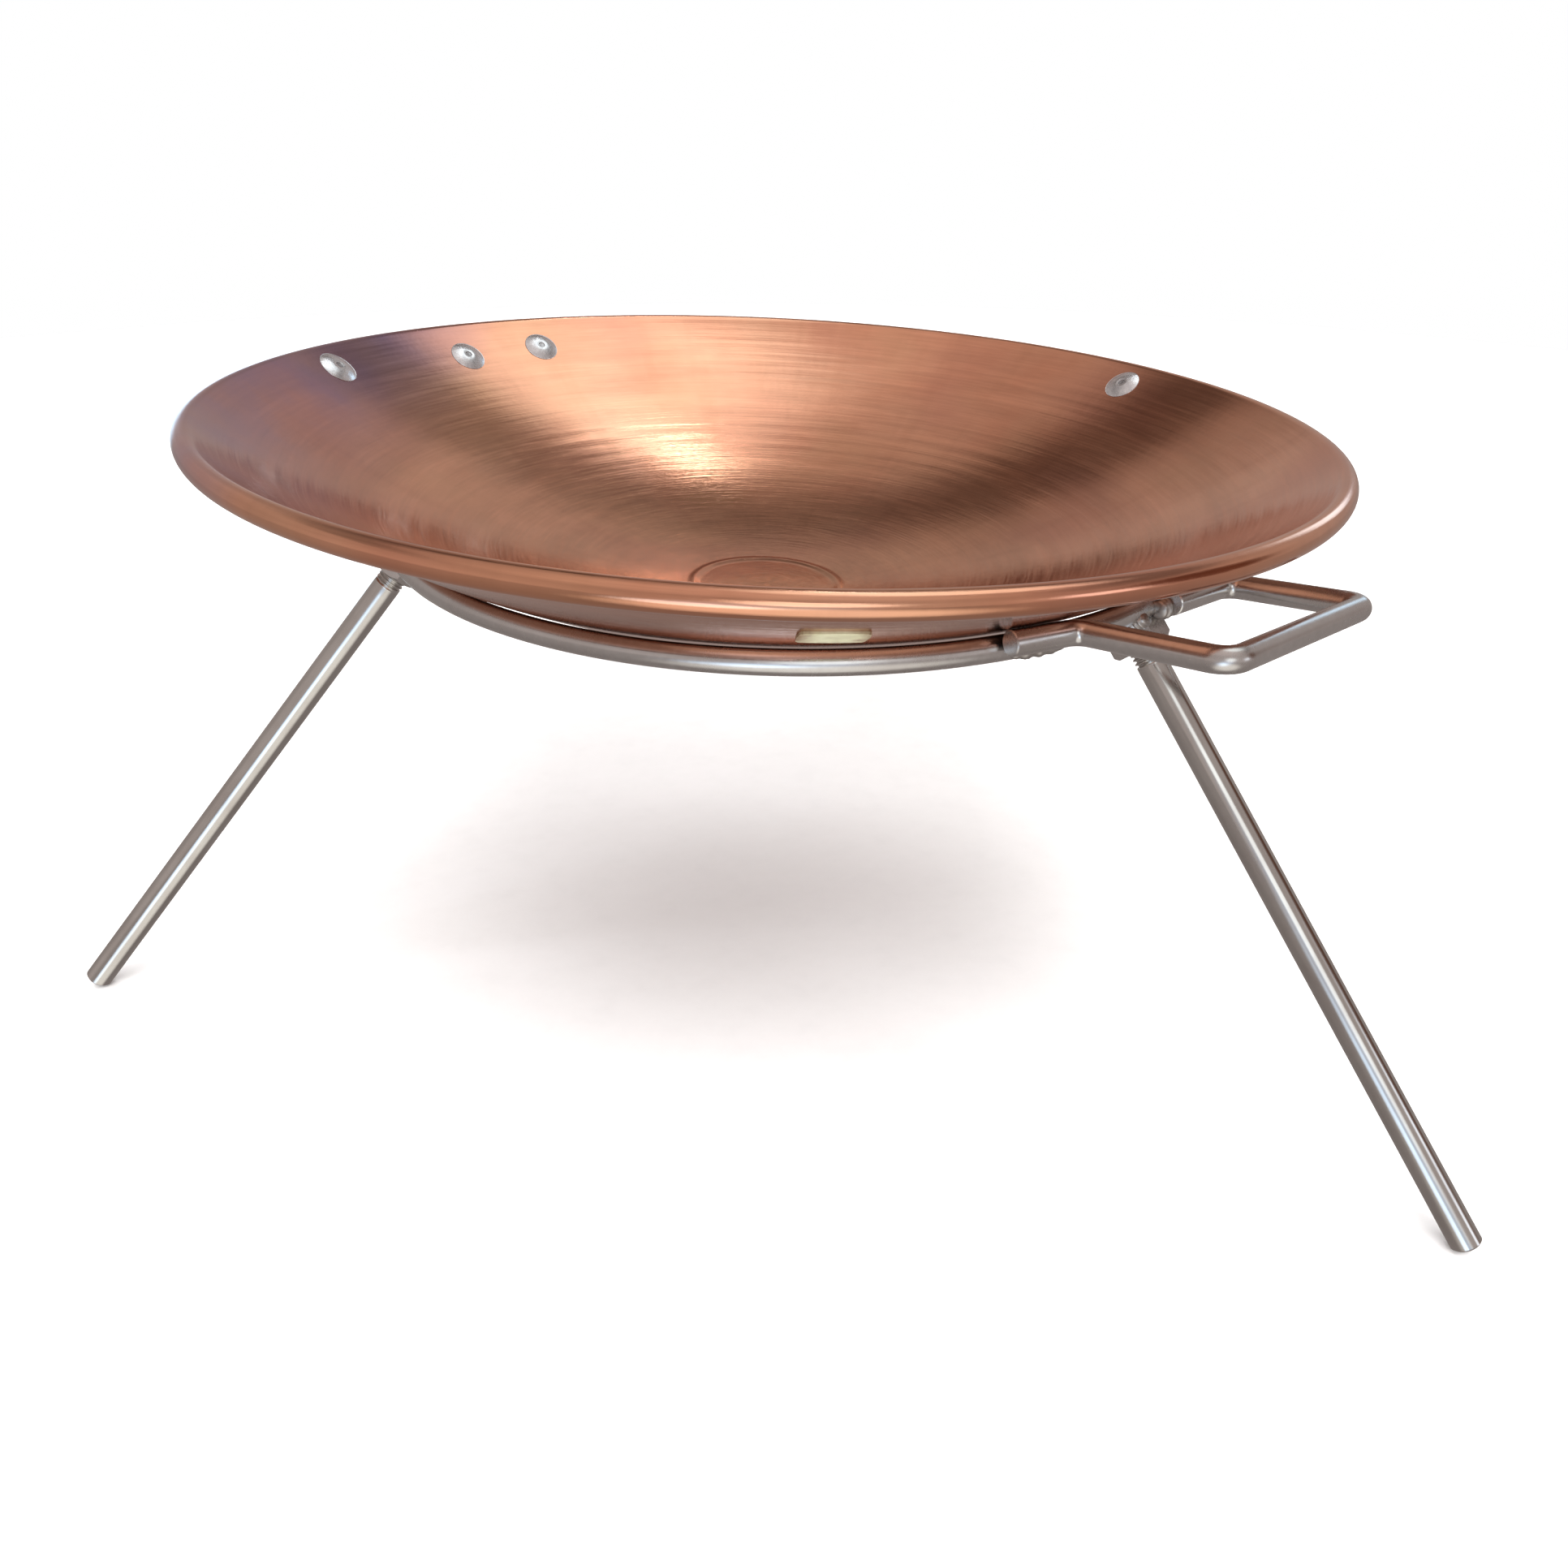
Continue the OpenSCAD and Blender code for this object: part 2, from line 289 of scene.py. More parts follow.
class Surface:
    """A Principled material whose inputs are worked out from the place on the piece."""

    def __init__(self, name):
        self.material = bpy.data.materials.new(name)
        self.material.use_nodes = True
        self.tree = self.material.node_tree
        self.shader = self.tree.nodes["Principled BSDF"]
        self.place = self.node("ShaderNodeTexCoord").outputs["Object"]

    def node(self, kind, **settings):
        made = self.tree.nodes.new(kind)
        for key, value in settings.items():
            setattr(made, key, value)
        return made

    def link(self, source, target):
        self.tree.links.new(source, target)

    def fill(self, socket, value):
        if isinstance(value, bpy.types.NodeSocket):
            self.link(value, socket)
        else:
            socket.default_value = value

    def math(self, operation, *values):
        made = self.node("ShaderNodeMath", operation=operation)
        for socket, value in zip(made.inputs, values):
            self.fill(socket, value)
        return made.outputs[0]

    def split(self, vector):
        made = self.node("ShaderNodeSeparateXYZ")
        self.link(vector, made.inputs[0])
        return made.outputs

    def joined(self, x, y, z):
        made = self.node("ShaderNodeCombineXYZ")
        for socket, value in zip(made.inputs, (x, y, z)):
            self.fill(socket, value)
        return made.outputs[0]

    def noise(self, vector, scale, detail, roughness):
        made = self.node("ShaderNodeTexNoise")
        self.link(vector, made.inputs["Vector"])
        made.inputs["Scale"].default_value = scale
        made.inputs["Detail"].default_value = detail
        made.inputs["Roughness"].default_value = roughness
        return made.outputs[0]

    def ramp(self, value, stops):
        """Colours at places along a value."""
        made = self.node("ShaderNodeValToRGB")
        self.fill(made.inputs[0], value)
        elements = made.color_ramp.elements
        while len(elements) < len(stops):
            elements.new(0.5)
        for element, (spot, colour) in zip(elements, stops):
            element.position = spot
            element.color = (*colour, 1)
        return made.outputs[0]

    def mix(self, share, first, second, blend="MIX"):
        """Blends two colours. The node keeps its colour sockets after those for numbers and vectors."""
        made = self.node("ShaderNodeMix", data_type="RGBA", blend_type=blend)
        self.fill(made.inputs[0], share)
        for socket, colour in ((made.inputs[6], first), (made.inputs[7], second)):
            self.fill(socket, (*colour, 1) if isinstance(colour, tuple) else colour)
        return made.outputs[2]

    def shaded(self, colour, brightness):
        """Multiplies a colour by one brightness."""
        return self.mix(1.0, colour, self.joined(brightness, brightness, brightness), "MULTIPLY")

    def span(self, value, low, high, new_low, new_high):
        """Maps a value from one range to another and stops at its ends."""
        made = self.node("ShaderNodeMapRange")
        for socket, number in zip(made.inputs, (value, low, high, new_low, new_high)):
            self.fill(socket, number)
        return made.outputs[0]

    def spread(self, noise, new_low, new_high):
        """Maps a noise, which mostly lies between 0.3 and 0.7, to a range of values."""
        return self.span(noise, 0.3, 0.7, new_low, new_high)

    def bump(self, height, distance, strength=1.0, after=None):
        """Relief of a depth in metres, on top of an earlier relief if there is one."""
        made = self.node("ShaderNodeBump")
        made.inputs["Distance"].default_value = distance
        made.inputs["Strength"].default_value = strength
        self.link(height, made.inputs["Height"])
        if after is not None:
            self.link(after, made.inputs["Normal"])
        return made.outputs[0]


def copper():
    """Spun copper: fine turning lines round the bowl's own axis, soft bands, heat tints, and painted shade
    on the wall's outer face under the curl.
    """
    dark, middle, light = (0.76, 0.34, 0.21), (0.83, 0.415, 0.265), (0.88, 0.48, 0.32)
    golden, reddish, brown = (0.72, 0.43, 0.25), (0.62, 0.26, 0.19), (0.45, 0.19, 0.10)
    # outer is a painted shade colour for the wall's outer face under the curl
    yellowish, purple, outer = (0.76, 0.44, 0.26), (0.34, 0.25, 0.42), (0.62, 0.30, 0.20)

    s = Surface("copper")
    x, y, z = s.split(s.place)
    radius = s.math("SQRT", s.math("ADD", s.math("MULTIPLY", x, x), s.math("MULTIPLY", y, y)))
    across = s.math("DIVIDE", x, radius)
    along = s.math("DIVIDE", y, radius)

    def turned(reach, offset):
        """Coordinates that change quickly with the radius and slowly round the axis."""
        sideways = s.math("MULTIPLY", across, reach), s.math("MULTIPLY", along, reach)
        return s.joined(s.math("ADD", radius, offset), *sideways)

    lines = s.noise(turned(0.004, 0.0), 900, 4, 0.65)
    ridges = s.noise(turned(0.002, 0.5), 300, 2, 0.5)
    bands = s.noise(turned(0.02, 2.0), 70, 5, 0.65)
    streaks = s.noise(s.joined(across, along, radius), 14, 4, 0.6)
    blotches = s.noise(s.place, 9, 5, 0.55)
    hues = s.noise(s.place, 14, 2, 0.4)
    grain = s.noise(s.place, 260, 4, 0.6)

    tone = s.ramp(blotches, [(0.30, dark), (0.50, middle), (0.70, light)])
    from_rim = s.math("SUBTRACT", 1.0, s.span(radius, 0.02, 0.125, 0, 1))
    tone = s.mix(s.math("MULTIPLY", from_rim, 0.55), tone, golden)
    tone = s.mix(s.span(streaks, 0.50, 0.75, 0, 0.15), tone, brown)
    line_shade = s.spread(lines, 0.92, 1.06)
    band_shade = s.span(bands, 0.35, 0.65, 0.86, 1.08)
    tone = s.shaded(tone, s.math("MULTIPLY", line_shade, band_shade))

    # heat has turned the wall purple high up on the -X side
    left = s.span(s.math("MULTIPLY", x, -1.0), 0.14, 0.18, 0, 1)
    high = s.span(z, -0.045, -0.01, 0, 1)
    heated = s.math("MULTIPLY", s.math("MULTIPLY", left, high), s.span(blotches, 0.35, 0.6, 0.35, 0.9))
    tone = s.mix(heated, tone, purple)
    tone = s.mix(s.span(hues, 0.52, 0.68, 0, 0.35), tone, reddish)
    tone = s.mix(s.span(hues, 0.48, 0.34, 0, 0.3), tone, yellowish)

    # painted shade: the wall's outer face under the curl is darkened to stand in for the shaded floor
    # beneath the bowl that it mirrors
    from_middle = s.node("ShaderNodeVectorMath", operation="DISTANCE")
    s.link(s.place, from_middle.inputs[0])
    from_middle.inputs[1].default_value = (0, 0, sphere_rise * METRES)
    inner_skin, outer_skin = (inner_radius + 0.3) * METRES, (outer_radius - 0.3) * METRES
    outside = s.span(from_middle.outputs["Value"], inner_skin, outer_skin, 0, 1)
    curl = CURL_RADIUS * METRES
    painted_shade_below_curl = s.span(z, -1.9 * curl, -1.5 * curl, 1, 0)
    tone = s.mix(s.math("MULTIPLY", outside, painted_shade_below_curl), tone, outer)
    s.link(tone, s.shader.inputs["Base Color"])

    line_gloss = s.spread(lines, 0.09, 0.17)
    blotch_gloss = s.spread(blotches, -0.02, 0.04)
    s.link(s.math("ADD", line_gloss, blotch_gloss), s.shader.inputs["Roughness"])
    s.shader.inputs["Metallic"].default_value = 1.0
    s.shader.inputs["Anisotropic"].default_value = 0.45
    tangent = s.node("ShaderNodeTangent", direction_type="RADIAL", axis="Z")
    s.link(tangent.outputs[0], s.shader.inputs["Tangent"])
    relief = s.bump(lines, 0.00006)
    ridged = s.math("MULTIPLY", ridges, s.span(radius, 0.10, 0.15, 0.25, 1))
    relief = s.bump(ridged, 0.00012, after=relief)
    relief = s.bump(grain, 0.00002, after=relief)
    s.link(relief, s.shader.inputs["Normal"])
    return s.material


def steel(name, colour, dark, rough, stretch, relief):
    """Rod or weld metal with faint rubbing marks, darker blotches and small pits."""
    s = Surface(name)
    blotches = s.noise(s.place, 28, 5, 0.6)
    marks = s.node("ShaderNodeMapping")
    s.link(s.place, marks.inputs["Vector"])
    marks.inputs["Scale"].default_value = stretch
    scratches = s.noise(marks.outputs[0], 420, 5, 0.65)
    pits = s.noise(s.place, 900, 2, 0.5)
    tone = s.mix(s.span(blotches, 0.42, 0.72, 0, 0.75), colour, dark)
    tone = s.shaded(tone, s.spread(scratches, 0.95, 1.03))
    s.link(tone, s.shader.inputs["Base Color"])
    scratch_gloss = s.spread(scratches, rough - 0.02, rough + 0.04)
    blotch_gloss = s.spread(blotches, -0.03, 0.08)
    s.link(s.math("ADD", scratch_gloss, blotch_gloss), s.shader.inputs["Roughness"])
    s.shader.inputs["Metallic"].default_value = 1.0
    height = s.bump(scratches, relief)
    height = s.bump(pits, relief * 0.3, 0.5, height)
    s.link(height, s.shader.inputs["Normal"])
    return s.material


def brass():
    """Pale brass, turning brown towards its two ends."""
    s = Surface("brass")
    dull, bright, brown = (0.62, 0.60, 0.38), (0.80, 0.79, 0.56), (0.30, 0.19, 0.10)
    blotches = s.noise(s.place, 190, 4, 0.6)
    from_middle = s.math("ABSOLUTE", s.split(s.place)[1])
    uneven = s.math("ADD", from_middle, s.spread(blotches, -0.003, 0.003))
    tone = s.ramp(blotches, [(0.35, dull), (0.65, bright)])
    tone = s.mix(s.span(uneven, 0.0045, 0.010, 0, 1), tone, brown)
    s.link(tone, s.shader.inputs["Base Color"])
    s.shader.inputs["Metallic"].default_value = 0.3
    s.link(s.spread(blotches, 0.35, 0.5), s.shader.inputs["Roughness"])
    s.link(s.bump(blotches, 0.0001), s.shader.inputs["Normal"])
    return s.material


def aluminium():
    """Bright rivet aluminium with small dents and a fine grain."""
    s = Surface("aluminium")
    dents = s.noise(s.place, 420, 3, 0.6)
    fine = s.noise(s.place, 1600, 3, 0.6)
    tone = s.ramp(dents, [(0.35, (0.70, 0.70, 0.73)), (0.65, (0.86, 0.86, 0.88))])
    s.link(tone, s.shader.inputs["Base Color"])
    s.shader.inputs["Metallic"].default_value = 1.0
    s.link(s.spread(fine, 0.22, 0.34), s.shader.inputs["Roughness"])
    relief = s.bump(dents, 0.0002, 0.5)
    s.link(s.bump(fine, 0.00003, after=relief), s.shader.inputs["Normal"])
    return s.material


copper_skin = copper()
ring_skin = steel("ring_steel", (0.62, 0.60, 0.59), (0.52, 0.48, 0.46), 0.22, (1, 1, 1), 0.000003)
leg_skin = steel("leg_steel", (0.58, 0.56, 0.54), (0.47, 0.43, 0.41), 0.13, (1, 1, 0.12), 0.000006)
weld_skin = steel("weld_metal", (0.50, 0.47, 0.45), (0.30, 0.26, 0.24), 0.34, (1, 1, 1), 0.00008)
pin_skin = steel("pin_steel", (0.50, 0.49, 0.50), (0.34, 0.34, 0.36), 0.32, (1, 1, 1), 0.00003)
brass_skin = brass()
rivet_skin = aluminium()

# ---------- bowl ----------


def band_set(radius, pitch, phase, start, full, fading, end):
    """Spun bands that rise between two radii and fade between two more."""
    height = 0.03 * math.sin(radius * 2 * math.pi / pitch + phase)
    return height * smoothstep(radius, start, full) * (1 - smoothstep(radius, fading, end))


def ripple(radius):
    """Height of the spun bands left on the inside of the wall."""
    rim_bands = band_set(radius, 4.6, 0, 158, 172, 190, 200)
    wall_bands = band_set(radius, 7.3, 1.1, 112, 124, 138, 152)
    return rim_bands + wall_bands


def bowl_profile():
    """One sheet of copper from the middle of the floor, up the wall, round the curl and back."""
    to_curl = math.atan2(-CURL_RADIUS - sphere_rise, curl_centre)
    floor_angle = math.asin(FLOOR_RADIUS / inner_radius)
    top_angle = math.pi / 2 + to_curl
    floor_steps, wall_steps, outer_steps, curl_steps = 34, 150, 50, 28
    curl_from = to_curl + math.pi
    curl_to = math.radians(-117)
    bead_width, bead_rise = 1.5, 0.6

    def on_sphere(radius, angle):
        return radius * math.sin(angle), sphere_rise - radius * math.cos(angle)

    def on_curl(radius, angle):
        return curl_centre + radius * math.cos(angle), -CURL_RADIUS + radius * math.sin(angle)

    inside = [(0, floor_level)]
    for radius in np.linspace(2, FLOOR_RADIUS + 2 * bead_width, floor_steps):
        bead_height = bead_rise * math.exp(-(((radius - FLOOR_RADIUS) / bead_width) ** 2))
        sphere = sphere_rise - math.sqrt(inner_radius**2 - radius**2)
        inside.append((radius, max(floor_level, sphere) + bead_height))
    start = math.asin((FLOOR_RADIUS + 2.4 * bead_width) / inner_radius)
    for angle in np.linspace(start, top_angle, wall_steps):
        inside.append(on_sphere(inner_radius - ripple(inner_radius * math.sin(angle)), angle))
    for angle in np.linspace(curl_from, curl_to, curl_steps)[1:]:
        inside.append(on_curl(CURL_RADIUS, angle))

    outside = [on_curl(CURL_RADIUS - WALL, angle) for angle in np.linspace(curl_to, curl_from, curl_steps)]
    for angle in np.linspace(top_angle, floor_angle, outer_steps)[1:]:
        outside.append(on_sphere(outer_radius, angle))
    outside.append((FLOOR_RADIUS - 1, floor_level - WALL))
    outside.append((0, floor_level - WALL))
    return inside + outside


def build_bowl():
    mesh = revolve(list(reversed(bowl_profile())), 360)
    place("copper_bowl", mesh, at_bowl, "bowl", copper_skin, "fire_bowl", 50)


# ---------- rivets and plate ----------


def lean_at_depth(depth):
    """Angle from straight down of a place on the wall that lies this far below the rim."""
    return math.degrees(math.acos((sphere_rise + depth) / inner_radius))


seating = 0.02
head_seat = math.sqrt(inner_radius**2 - RIVET_HEAD**2) - seating
head_top = head_seat - RIVET_DOME
tail_seat = outer_radius + seating
tail_end = tail_seat + TAIL_LENGTH


def rivet_profile():
    """From the pin hole in the domed head, over its rim, along the shank, the tail and the bore."""
    hole = PIN_RADIUS + 0.02
    dome_radius = (RIVET_HEAD**2 + RIVET_DOME**2) / (2 * RIVET_DOME)
    dimple, dimple_radius = 0.35, 2.1
    head = [(hole, head_top + 2.5), (hole, head_top + dimple + 0.5)]
    for radius in np.linspace(PIN_RADIUS + 0.15, RIVET_HEAD - 0.25, 22):
        dome = dome_radius - math.sqrt(dome_radius**2 - radius**2)
        sink = dimple * math.exp(-((radius / dimple_radius) ** 4))
        head.append((radius, head_top + dome + sink))
    head.append((RIVET_HEAD - 0.05, head_seat - 0.18))
    head.append((RIVET_HEAD, head_seat - 0.05))
    head.append((RIVET_HEAD - 0.1, head_seat))
    shank = [(RIVET_SHANK, head_seat + 0.1), (RIVET_SHANK, tail_seat)]
    tail_bulge = 0.6 * RIVET_SHANK
    tail = []
    for share in np.linspace(0, 1, 12):
        bulge = math.sin(math.pi * (0.18 + 0.62 * share)) ** 0.6
        tail.append((RIVET_SHANK + tail_bulge * bulge, tail_seat + TAIL_LENGTH * share))
    return head + shank + tail + [(hole, tail_end), head[0]]


def pin_profile():
    """From the broken end, sunk in the rivet's head, to the pin's own head behind the tail."""
    nose = head_top + 0.5
    profile = [(0, nose + 0.12), (0.5, nose + 0.05), (1.15, nose), (PIN_RADIUS, nose + 0.15)]
    profile += [(PIN_RADIUS, tail_end), (RIVET_SHANK - 0.1, tail_end), (RIVET_SHANK, tail_end + 0.3)]
    profile += [(RIVET_SHANK - 0.3, tail_end + 1.0), (0, tail_end + 1.2)]
    return profile


def build_rivets():
    to_bowl = at_bowl.inverted()
    rivet_parts, pin_parts = [], []
    for turn, depth in RIVET_PLACES:
        where = to_bowl @ at_wall(turn, lean_at_depth(depth))
        rivet_parts.append(moved(revolve(rivet_profile(), 72), where))
        pin_parts.append(moved(revolve(pin_profile(), 40), where))
    place("rivet_set", merge(rivet_parts), at_bowl, "bowl", rivet_skin, "rivets")
    place("rivet_pin_set", merge(pin_parts), at_bowl, "bowl", pin_skin, "rivet_pins")


def build_plate():
    """A hand-cut plate bent to the bowl, with worn corners and slightly wavy edges."""
    dice = random.Random(5)
    steps = 36
    count = steps + 1
    gap, corner_loss, edge_drop = 0.03, 0.9, 0.25
    waves = [(dice.uniform(0, 6.3), dice.uniform(0.05, 0.14)) for _ in range(2)]
    layers = []
    for offset, drop in ((gap, 0), (PLATE_THICKNESS, edge_drop)):
        layer = []
        for i in range(count):
            for j in range(count):
                u = 2 * i / steps - 1
                v = 2 * j / steps - 1
                nearness = max(abs(u), abs(v))
                upper_or_lower = abs(u) > abs(v)
                phase, size = waves[0] if upper_or_lower else waves[1]
                wave = size * (1 + math.sin(5 * (v if upper_or_lower else u) + phase))
                worn = corner_loss * (abs(u) * abs(v)) ** 8 + nearness**6 * wave
                x = u * (PLATE_HEIGHT / 2 - worn)
                y = v * (PLATE_WIDTH / 2 - worn)
                reach = outer_radius + offset - drop * nearness**10
                layer.append((x, y, math.sqrt(reach**2 - x * x - y * y)))
        layers.append(layer)
    lower = grid_faces(count, count, close_columns=False)
    upper = [tuple(reversed([i + count * count for i in face])) for face in lower]
    border = list(range(count))
    border += [i * count + steps for i in range(1, count)]
    border += [steps * count + j for j in range(steps - 1, -1, -1)]
    border += [i * count for i in range(steps - 1, 0, -1)]
    sides = []
    for a, b in zip(border, border[1:] + border[:1]):
        sides.append((b, a, a + count * count, b + count * count))
    mesh = (layers[0] + layers[1], lower + upper + sides)
    where = at_wall(PLATE_DIRECTION, math.degrees(math.asin(PLATE_REACH / outer_radius)))
    place("brass_tag", mesh, where, "bowl", brass_skin, "brass_plate")


# ---------- ring, handle, nuts and welds ----------


def build_ring():
    round_steps, rod_steps = 360, 40
    points = []
    for i in range(round_steps):
        turn = 2 * math.pi * i / round_steps
        for j in range(rod_steps):
            angle = 2 * math.pi * j / rod_steps
            radius = RING_RADIUS + ROD_RADIUS * math.cos(angle)
            points.append((radius * math.cos(turn), radius * math.sin(turn), ROD_RADIUS * math.sin(angle)))
    faces = grid_faces(round_steps, rod_steps, close_rows=True)
    faces = [tuple(reversed(face)) for face in faces]
    place("ring", (points, faces), at_ring, "stand", ring_skin, "stand_ring")


def rounded_path(corners, radius, step):
    """Points along straight runs joined by bends of one radius."""
    corners = [Vector((*corner, 0)) for corner in corners]
    path = [corners[0]]
    for before, corner, after in zip(corners, corners[1:], corners[2:]):
        into = (corner - before).normalized()
        out = (after - corner).normalized()
        turn = math.acos(into.dot(out))
        taken = radius * math.tan(turn / 2)
        start = corner - into * taken
        origin = path[-1]
        pieces = int((start - origin).length / step) + 1
        path += [origin.lerp(start, i / pieces) for i in range(1, pieces)]
        normal = (out - into * into.dot(out)).normalized()
        middle = start + normal * radius
        bend_steps = max(4, int(math.degrees(turn) / 6))
        for i in range(bend_steps + 1):
            angle = turn * i / bend_steps
            path.append(middle - normal * radius * math.cos(angle) + into * radius * math.sin(angle))
    path.append(corners[-1])
    return path


def build_handle():
    """From the foot beside the ring, out along the near arm, across the grip and back inwards."""
    foot = Vector((sin_deg(FOOT_TURN), cos_deg(FOOT_TURN))) * FOOT_LENGTH / 2
    near = foot + Vector((NEAR_ARM, 0))
    far = near + Vector((0, GRIP_WIDTH))
    inner = far - Vector((FAR_ARM, 0))
    end = inner - Vector((0, INNER_BAR))
    step, ease = 3, 0.35
    path = rounded_path([-foot, foot, near, far, inner, end], BEND_RADIUS, step)
    first = (path[1] - path[0]).normalized()
    last = (path[-1] - path[-2]).normalized()
    path = [path[0], path[0] + first * ease, *path[1:-1], path[-1] - last * ease, path[-1]]
    radii = [ROD_RADIUS] * len(path)
    radii[0] = radii[-1] = ROD_RADIUS - ease
    place("bent_handle", sweep(path, radii, 40), at_handle, "stand", ring_skin, "handle")


def hex_radius(angle):
    """Distance from a nut's axis to its flat side, in a direction."""
    within = (math.degrees(angle) % 60) - 30
    return NUT_FLATS / 2 / cos_deg(within)


def nut_mesh():
    """A hex nut with its corners eased at both faces and its bore chamfered on the far one."""
    steps = 120
    bore_chamfer = 0.6
    ease = NUT_FLATS / 2 / cos_deg(30) - NUT_FLATS / 2
    levels = list(np.linspace(0, ease, 8)) + list(np.linspace(NUT_HEIGHT - ease, NUT_HEIGHT, 8))
    rows = []
    for level in levels:
        limit = NUT_FLATS / 2 + min(level, NUT_HEIGHT - level)
        rows.append([(min(hex_radius(2 * math.pi * j / steps), limit), level) for j in range(steps)])
    rows.append([(NUT_BORE + bore_chamfer, NUT_HEIGHT)] * steps)
    rows.append([(NUT_BORE, NUT_HEIGHT - bore_chamfer)] * steps)
    rows.append([(NUT_BORE, 0)] * steps)
    points = []
    for row in rows:
        for j, (radius, level) in enumerate(row):
            angle = 2 * math.pi * j / steps
            points.append((radius * math.cos(angle), radius * math.sin(angle), level))
    return points, grid_faces(len(rows), steps, close_rows=True)


def build_nuts():
    to_ring = at_ring.inverted()
    parts = []
    for turn in LEG_TURNS.values():
        where = to_ring @ at_leg(turn) @ shift(0, 0, nut_start) @ spin(30, "Z")
        parts.append(moved(nut_mesh(), where))
    place("nut_set", merge(parts), at_ring, "stand", ring_skin, "leg_nuts", 25)


def bead(path, radius, dice):
    """A weld bead along a path: overlapping ripples with rounded ends and a slightly rough skin."""
    ripple_count, ripple_height, roughness = 4.5, 0.07, 0.03
    path = [Vector(p) for p in path]
    radii = []
    for i in range(len(path)):
        share = i / (len(path) - 1)
        ends = math.sqrt(max(0.03, 1 - (2 * share - 1) ** 4))
        ripples = 1 + ripple_height * math.sin(share * 2 * math.pi * ripple_count)
        radii.append(radius * ends * ripples * dice.uniform(0.96, 1.04))
    points, faces = sweep(path, radii, 28)
    return [Vector(p) + Vector([dice.gauss(0, roughness) for _ in range(3)]) for p in points], faces


def arc_run(direction, half_angle, outward, count):
    """Points along the outer side of the ring, on either side of a direction."""
    reach = RING_RADIUS + outward
    turns = np.linspace(direction - half_angle, direction + half_angle, count)
    return [(reach * cos_deg(turn), reach * sin_deg(turn), 0) for turn in turns]


def build_welds():
    """Two beads between each nut and the ring, and one at each place where the handle meets it."""
    dice = random.Random(11)
    to_ring = at_ring.inverted()
    nut_side, half_run, curve, nut_bead = 7.5, 3.4, 0.024, 2.9
    beads = []
    for turn in LEG_TURNS.values():
        where = to_ring @ at_leg(turn)
        for side in (-1, 1):
            middle = Vector((LEG_INSET * cos_deg(LEG_SPLAY), side * nut_side, nut_start - 0.5))
            run = []
            for along in np.linspace(-half_run, half_run, 26):
                run.append(middle + Vector((along, -side * curve * along**2, 0)))
            beads.append(moved(bead(run, nut_bead, dice), where))
    place("nut_weld_beads", merge(beads), at_ring, "stand", weld_skin, "nut_welds")

    foot_bead = bead(arc_run(FOOT_DIRECTION, 3.6, 5.2, 40), 2.2, dice)
    end_bead = bead(arc_run(HANDLE_END_DIRECTION, 1.2, 5, 20), 3.6, dice)
    beads = [foot_bead, end_bead]
    place("handle_weld_beads", merge(beads), at_ring, "stand", weld_skin, "handle_welds")


# ---------- legs ----------


def thread_radius(height, share):
    """Radius of the cut thread at a height and a share of a turn. It runs out into the plain rod."""
    play, lead_depth, lead_length = 0.02, 0.7, 1.2
    runout_start, runout_end = THREAD_LENGTH - 0.6, THREAD_LENGTH + 0.8
    tooth = 2 * abs((height / THREAD_PITCH - share) % 1 - 0.5)
    depth = THREAD_DEPTH * smoothstep(1 - tooth, 0.12, 0.88)
    depth *= 1 - smoothstep(height, runout_start, runout_end)
    lead = lead_depth * (1 - smoothstep(height, 0, lead_length))
    return LEG_RADIUS - play - max(depth, lead)


def leg_mesh():
    """A rod with a cut screw thread at its top and an eased foot. +Z runs down."""
    steps, steps_per_pitch, plain_steps = 64, 12, 60
    shares = [j / steps for j in range(steps)]

    def level(radii, height):
        """One ring of points, with a radius for each share of a turn."""
        turns = [2 * math.pi * share for share in shares]
        return [(r * math.cos(turn), r * math.sin(turn), height) for r, turn in zip(radii, turns)]

    rows = [level([LEG_RADIUS - 1.2] * steps, 0)]
    for height in np.arange(0.15, THREAD_LENGTH + 1.2, THREAD_PITCH / steps_per_pitch):
        rows.append(level([thread_radius(height, share) for share in shares], height))
    foot = LEG_LENGTH - FOOT_CHAMFER
    for height in [*np.linspace(THREAD_LENGTH + 1.4, foot - 0.1, plain_steps), foot]:
        rows.append(level([LEG_RADIUS] * steps, height))
    rows.append(level([LEG_RADIUS - FOOT_CHAMFER] * steps, LEG_LENGTH))
    points = [point for row in rows for point in row]
    return points, grid_faces(len(rows), steps) + end_caps(len(rows), steps)


def build_legs():
    """The mirror of the leg's frame goes into its mesh, so that the piece's own frame has none."""
    mesh = moved(leg_mesh(), MIRROR_X)
    for node, turn in LEG_TURNS.items():
        where = at_leg(turn) @ MIRROR_X @ shift(0, 0, leg_start)
        place(node + "_rod", mesh, where, node, leg_skin, node, 40)


build_bowl()
build_rivets()
build_plate()
build_ring()
build_handle()
build_nuts()
build_welds()
build_legs()

# ---------- floor, light and camera ----------


def build_floor():
    """A pale round floor. Beyond its edge the plain surroundings are just as pale."""
    reach, steps = 1.9, 96
    data = bpy.data.meshes.new("floor")
    points, faces = revolve([(reach, 0), (reach * 2 / 3, 0), (reach / 3, 0), (0, 0)], steps)
    data.from_pydata(points, [], faces)
    data.shade_smooth()
    s = Surface("pale_floor")
    dim, bright = (0.92, 0.92, 0.92), (0.96, 0.96, 0.96)
    tone = s.ramp(s.noise(s.place, 60, 4, 0.6), [(0.3, dim), (0.7, bright)])
    s.link(tone, s.shader.inputs["Base Color"])
    s.shader.inputs["Roughness"].default_value = 0.7
    s.shader.inputs["Specular IOR Level"].default_value = 0.2
    data.materials.append(s.material)
    floor = bpy.data.objects.new("floor", data)
    bpy.context.scene.collection.objects.link(floor)
    floor.visible_glossy = False


